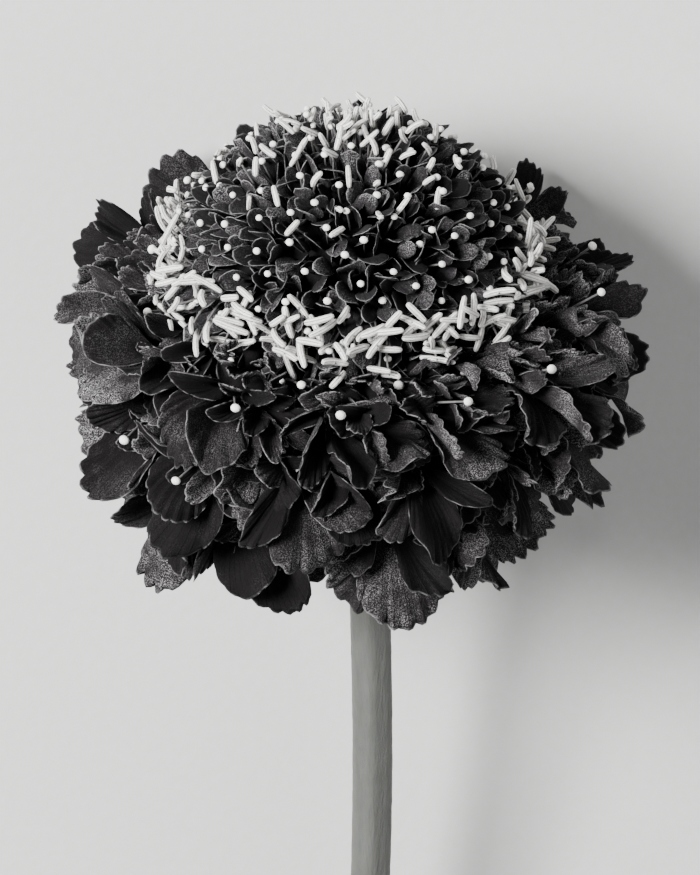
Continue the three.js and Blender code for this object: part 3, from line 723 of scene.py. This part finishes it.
seat = (throat, forth, hang, aside)
trials = np.array([lobes(seat, disc_shape(form), ROOM_GRID)[0] for form in range(DISC_FORMS)])
form = free_forms(trials, np.zeros((80, 80, 80), bool), DISC_CELL)
points, marks = lobes(seat, disc_shape(form), DISC_GRID)
share = np.linspace(0, 1, 4)[None, :, None]
path = (throat - forth * 0.9)[:, None] + forth[:, None] * share * 0.95
radius = np.broadcast_to(np.array([0.35, 0.45, 0.52, 0.58])[:, None], (len(florets), 4, 8))
add_piece(
    "disc_corollas",
    "disc_florets",
    "disc_petal",
    disc_petal.material,
    blade(points, DISC_THICK, marks),
    tube(path, radius, ASKEW),
)

# ---------------------------------------------------------------- styles and stigmas
# A style stands in each floret, a grey thread that ends in a round white stigma level with the cup's rim.
# Some of the outer florets show theirs too.
THREAD_RADIUS = 0.1
STYLE_LENGTH = 3.55
DISC_STIGMA, RAY_STIGMA = 0.325, 0.42  # their radii
STIGMA_SIDES = 10

stigma_white = Finish(
    "stigma_white",
    Roughness=0.5,
    Specular_IOR_Level=0.4,
    Subsurface_Weight=0.15,
    Subsurface_Scale=0.0003,
    Subsurface_Radius=(1, 0.9, 0.8),
)
beads = stigma_white.noise(8000.0, 1.0)
stigma_white.plug(
    stigma_white.shader.inputs["Base Color"],
    stigma_white.mix(stigma_white.ramp(beads, 0.35, 0.65), (0.7, 0.69, 0.66, 1), (0.93, 0.92, 0.9, 1)),
)
stigma_white.bump(beads, 0.00004)

thread_grey = Finish("thread_grey", Roughness=0.55, Specular_IOR_Level=0.4)
grain = thread_grey.noise(3000.0)
thread_grey.plug(
    thread_grey.shader.inputs["Base Color"],
    thread_grey.mix(grain, (0.045, 0.043, 0.043, 1), (0.15, 0.146, 0.142, 1)),
)
thread_grey.bump(grain, 0.00002)


def threads(starts, ends, sag, radius, sides=6, stations=8):
    """Thin tubes from starts to ends that bow out by sag, a parabola, and taper a little."""
    share = np.linspace(0, 1, stations)[None, :, None]
    path = starts[:, None] * (1 - share) + ends[:, None] * share + sag[:, None] * 4 * share * (1 - share)
    radii = radius * (1.15 - 0.3 * share[0]) * np.ones((len(starts), stations, sides))
    return tube(path, radii, ASKEW)


def beads_at(middles, ways, size):
    """Round stigmas: a short tube whose radius follows a circle, a little flattened on top, and a little
    two-lobed in plan, by a cosine of twice the turn."""
    share = np.array([0.0, 0.05, 0.2, 0.42, 0.66, 0.86, 0.96, 1.0])
    radii = np.sqrt(np.clip(1 - (2 * share - 1) ** 2, 0, 1)) + 0.02
    path = middles[:, None] + ways[:, None] * ((share - 0.5) * 1.7)[None, :, None] * size[:, None, None]
    lobed = 1 + 0.08 * np.cos(2 * 2 * np.pi * np.arange(STIGMA_SIDES) / STIGMA_SIDES)
    return tube(path, size[:, None, None] * radii[None, :, None] * lobed, ASKEW)


style_tips = throat + forth * (STYLE_LENGTH + 0.35 * vary(florets, 430)[:, None])
style_tips += hang * 0.3 * vary(florets, 431)[:, None] + aside * 0.3 * vary(florets, 432)[:, None]
bow = hang * 0.15 * vary(florets, 433)[:, None]
stigmas = beads_at(style_tips, forth, DISC_STIGMA * (1 + 0.08 * vary(florets, 434)))
styles = threads(throat, style_tips, bow, THREAD_RADIUS)
add_piece("disc_styles", "disc_florets", "anther", thread_grey.material, styles)
add_piece("disc_stigmas", "disc_florets", "anther", stigma_white.material, stigmas)

ray_tips, ray_ways, ray_feet = [], [], []
for row, length in enumerate((2.8, 5.4, 6.6)):
    i, start, (mouth, way, down, beside) = ray_seats(row)
    kept = vary(i, 440 + row) > -0.3
    tips = mouth + way * (length + 0.8 * vary(i, 443 + row)[:, None])
    tips += down * (1.2 * vary(i, 446 + row)[:, None]) + beside * (1.2 * vary(i, 449 + row)[:, None])
    ray_tips.append(tips[kept])
    ray_ways.append(way[kept])
    ray_feet.append(mouth[kept])
ray_tips, ray_ways, ray_feet = map(np.concatenate, (ray_tips, ray_ways, ray_feet))
ray_tips = press(ray_tips, 0.6)
ray_feet = press(ray_feet, 0.6)
stigmas = beads_at(ray_tips, ray_ways, RAY_STIGMA * (1 + 0.08 * vary(np.arange(len(ray_tips)), 452)))
styles = threads(ray_feet, ray_tips, 0.1 * ray_ways, 1.1 * THREAD_RADIUS)
add_piece("ray_styles", "ray_florets", "anther", thread_grey.material, styles)
add_piece("ray_stigmas", "ray_florets", "anther", stigma_white.material, stigmas)

# ---------------------------------------------------------------- anther ring
# The stamens of the dome's outermost florets lie in a dense, jumbled wreath round its foot: off-white
# anthers like grains of rice, grooved lengthwise, on short grey filaments.
RING_PAIRS = 138
RING_POLAR = np.radians(84)
RING_HALF = 2.7  # of the wreath's height
ANTHER_LENGTH, ANTHER_RADIUS = 2.5, 0.285

anther_white = Finish(
    "anther_white",
    Roughness=0.6,
    Specular_IOR_Level=0.35,
    Subsurface_Weight=0.12,
    Subsurface_Scale=0.0003,
    Subsurface_Radius=(1, 0.9, 0.8),
)
pollen = anther_white.noise(7500.0, 2.0)
tint = anther_white.noise(260.0)
anther_colour = anther_white.mix(tint, (0.72, 0.71, 0.68, 1), (0.93, 0.92, 0.9, 1))
anther_colour = anther_white.mix(
    anther_white.ramp(pollen, 0.35, 0.6, 0.5, 0.0), anther_colour, (0.4, 0.39, 0.37, 1)
)
leaf = anther_white.node("Attribute")
leaf.attribute_name = "leaf"
leaf = anther_white.node("SeparateXYZ", Vector=leaf.outputs["Vector"])
turned = anther_white.math("ARCTAN2", leaf.outputs[1], leaf.outputs[0])
groove = anther_white.math("SINE", anther_white.math("MULTIPLY", turned, 3.0), 0.0)
groove = anther_white.ramp(anther_white.math("ABSOLUTE", groove, 0.0), 0.0, 0.45)
# Painted shade: the anther is drawn dark along six lines down its length, as shade in its grooves; two of
# them lie on the modelled grooves.
anther_white.plug(
    anther_white.shader.inputs["Base Color"],
    anther_white.mix(groove, (0.2, 0.19, 0.18, 1), anther_colour),
)
anther_white.bump(groove, 0.00009)
anther_white.bump(pollen, 0.00008)


def anthers(middles, ways, faces, length, radius, bow):
    """Anthers about middles, along ways: a tube that tapers to both ends as a long rounded grain, with four
    grooves along it, and bowed towards faces by a parabola."""
    share = np.array([0.0, 0.02, 0.07, 0.25, 0.5, 0.75, 0.94, 1.0])
    profile = np.array([0.3, 0.6, 0.84, 1.0, 1.0, 0.96, 0.78, 0.35])
    turn = 2 * np.pi * np.arange(12) / 12
    ridge = np.abs(np.sin(2 * turn)) ** 0.7
    grooved = 0.78 + 0.24 * ridge + 0.07 * np.cos(2 * turn)
    path = middles[:, None] + ways[:, None] * ((share - 0.5)[None, :, None] * length[:, None, None])
    path = path + faces[:, None] * (bow[:, None, None] * (1 - (2 * share - 1) ** 2)[None, :, None])
    rings = radius[:, None, None] * profile[None, :, None] * grooved[None, None, :]
    points, sides = tube(path, rings, faces[:, None])
    marks = np.zeros((len(middles), points.shape[1], 4))
    marks[:, 1:-1, 0] = np.tile(np.cos(turn), len(share))
    marks[:, 1:-1, 1] = np.tile(np.sin(turn), len(share))
    return points, sides, marks


# The anthers lie in pairs, as the florets bear them, and every pair points its own way.
pair = np.repeat(np.arange(RING_PAIRS), 2)
grains = np.arange(2 * RING_PAIRS)
place = np.tile([-0.5, 0.5], RING_PAIRS)
ring_angle = 2 * np.pi * (pair + 1.8 * vary(pair, 460)) / RING_PAIRS
apart = -1.5 - 0.6 * vary(pair, 461) - 0.6 * vary(grains, 462)
ring_point, faces, ring_level, ring_up = dome_point(RING_POLAR, ring_angle, apart)
slant = 1.1 * vary(pair, 463) + 0.8 * vary(grains, 464)
ways = ring_level * np.cos(slant)[:, None] + ring_up * np.sin(slant)[:, None]
beside = ring_up * np.cos(slant)[:, None] - ring_level * np.sin(slant)[:, None]
height = RING_HALF * (2 * (0.618 * pair % 1) - 1) + 0.7 * vary(grains, 465) - 0.5
middles = ring_point + ring_up * height[:, None]
middles += beside * (0.9 * place + 0.3 * vary(grains, 466))[:, None]
middles += ways * (1.1 * vary(grains, 467))[:, None]
ways = unit(ways + faces * (1.2 * vary(pair, 475) + 0.4 * vary(grains, 468))[:, None])
faces = unit(faces - ways * (faces * ways).sum(-1, keepdims=True) + 1e-6)
lengths = ANTHER_LENGTH * (1 + 0.3 * vary(grains, 469))
widths = ANTHER_RADIUS * (1 + 0.14 * vary(grains, 470))
add_piece(
    "ring_anthers",
    "anther_ring",
    "anther",
    anther_white.material,
    anthers(middles, ways, faces, lengths, widths, 0.35 * vary(grains, 471)),
)
feet_angle = np.arctan2(middles[:, 1], middles[:, 0]) + 0.06 * vary(grains, 472)
feet = dome_point(RING_POLAR + 0.05 * vary(grains, 473), feet_angle, 1.2)[0]
add_piece(
    "ring_filaments",
    "anther_ring",
    "anther",
    thread_grey.material,
    threads(feet, middles, 0.5 * vary(grains, 474)[:, None] * faces, THREAD_RADIUS),
)

# ---------------------------------------------------------------- crown stamens
# A looser tuft of stamens stands up from the florets round the top of the dome.
CROWN_STAMENS = 66
CROWN_LAST = np.radians(40)
CROWN_SIDE = np.radians(225)  # the way that the tuft leans over to
CROWN_LENGTH, CROWN_RADIUS = 1.85, 0.255  # of its anthers

i = np.arange(CROWN_STAMENS)
crowded = CROWN_STAMENS * ((i + 0.5) / CROWN_STAMENS) ** 1.7  # closer together towards the top
crown_angle = i * GOLDEN_ANGLE
crown_polar = spiral(crowded, CROWN_STAMENS, CROWN_LAST)[0] * (1 + 0.3 * np.cos(crown_angle - CROWN_SIDE))
base, crown_normal, crown_level, crown_up = dome_point(crown_polar, crown_angle + 0.4, FLORET_DEPTH)
end = base + crown_normal * (3.7 + 0.6 * vary(i, 480))[:, None]
end += crown_level * (1.1 * vary(i, 481))[:, None] + crown_up * (1.1 * vary(i, 482))[:, None]
crown_way = crown_level * vary(i, 483)[:, None] + crown_up * vary(i, 484)[:, None]
crown_way = unit(crown_way + crown_normal * (0.9 + 0.7 * vary(i, 485))[:, None])
crown_face = unit(crown_normal - crown_way * (crown_normal * crown_way).sum(-1, keepdims=True) + 1e-6)
add_piece(
    "crown_anthers",
    "disc_florets",
    "anther",
    anther_white.material,
    anthers(
        end,
        crown_way,
        crown_face,
        CROWN_LENGTH * (1 + 0.22 * vary(i, 486)),
        CROWN_RADIUS * (1 + 0.12 * vary(i, 487)),
        0.22 * vary(i, 488),
    ),
)
add_piece(
    "crown_filaments",
    "disc_florets",
    "anther",
    thread_grey.material,
    threads(base, end, 0.5 * vary(i, 489)[:, None] * crown_level, THREAD_RADIUS),
)

# ---------------------------------------------------------------- table, light and camera
# A plain pale table, one large soft light over the flower's upper left, a weaker one opposite, and the
# camera in line with the front of the head, a little above it.
table = bpy.data.meshes.new("table")
table.from_pydata([(-3, -3, 0), (3, -3, 0), (3, 3, 0), (-3, 3, 0)], [], [(0, 1, 2, 3)])
table_top = bpy.data.objects.new("table", table)
bpy.context.scene.collection.objects.link(table_top)
pale = Finish("table_pale", Roughness=0.7, Specular_IOR_Level=0.25)
tooth = pale.noise(900.0, 4.0)
pale.plug(pale.shader.inputs["Base Color"], pale.mix(tooth, (0.53, 0.53, 0.52, 1), (0.58, 0.58, 0.57, 1)))
pale.bump(tooth, 0.00004)
table.materials.append(pale.material)


def turned_to(place, target, top):
    """A matrix at place whose -z looks at target and whose y is as near top as it can be."""
    back = unit(place - target)
    right = unit(np.cross(top, back))
    columns = np.column_stack([right, np.cross(back, right), back])
    matrix = Matrix.Identity(4)
    for row in range(3):
        matrix[row][:3] = columns[row]
        matrix[row][3] = place[row]
    return matrix


def soft_light(name, place, target, size, power):
    """A square area light at place, given about the flower's own axis in millimetres."""
    light = bpy.data.lights.new(name, "AREA")
    light.size, light.energy = size, power
    holder = bpy.data.objects.new(name, light)
    bpy.context.scene.collection.objects.link(holder)
    upright = np.array([0.0, 0.0, 1.0])
    holder.matrix_world = turned_to(laid(np.array(place)), laid(np.array(target)), upright)


HEAD_MIDDLE = (0.0, 0.0, -6.0)
soft_light("key", (-420.0, -420.0, 330.0), HEAD_MIDDLE, 0.26, 20.0)
soft_light("fill", (460.0, -420.0, -60.0), HEAD_MIDDLE, 0.6, 2.4)
world = bpy.data.worlds.new("studio")
bpy.context.scene.world = world
world.use_nodes = True
world.node_tree.nodes["Background"].inputs["Color"].default_value = (0.86, 0.88, 0.9, 1)
world.node_tree.nodes["Background"].inputs["Strength"].default_value = 0.15

CAMERA_RISE = np.radians(30)  # above the plane of the anther ring
CAMERA_AWAY = 450.0
PICTURE_HEIGHT = 875  # pixels
PIXELS_AWAY = CAMERA_AWAY / 0.088  # the picture's distance in its own pixels
RING_ABOVE = 179.5  # pixels from the middle of the picture up to the ring's middle
looking = np.array([0, np.cos(CAMERA_RISE), -np.sin(CAMERA_RISE)])
upward = np.array([0, np.sin(CAMERA_RISE), np.cos(CAMERA_RISE)])
eye = -CAMERA_AWAY * looking
aim = eye + looking * PIXELS_AWAY - upward * RING_ABOVE
camera = bpy.data.objects.new("camera", bpy.data.cameras.new("camera"))
bpy.context.scene.collection.objects.link(camera)
camera.data.sensor_width = 36.0
camera.data.lens = camera.data.sensor_width * PIXELS_AWAY / PICTURE_HEIGHT
camera.data.clip_start, camera.data.clip_end = 0.01, 10.0
camera.matrix_world = turned_to(laid(eye), laid(aim), laid(eye + upward) - laid(eye))
bpy.context.scene.camera = camera
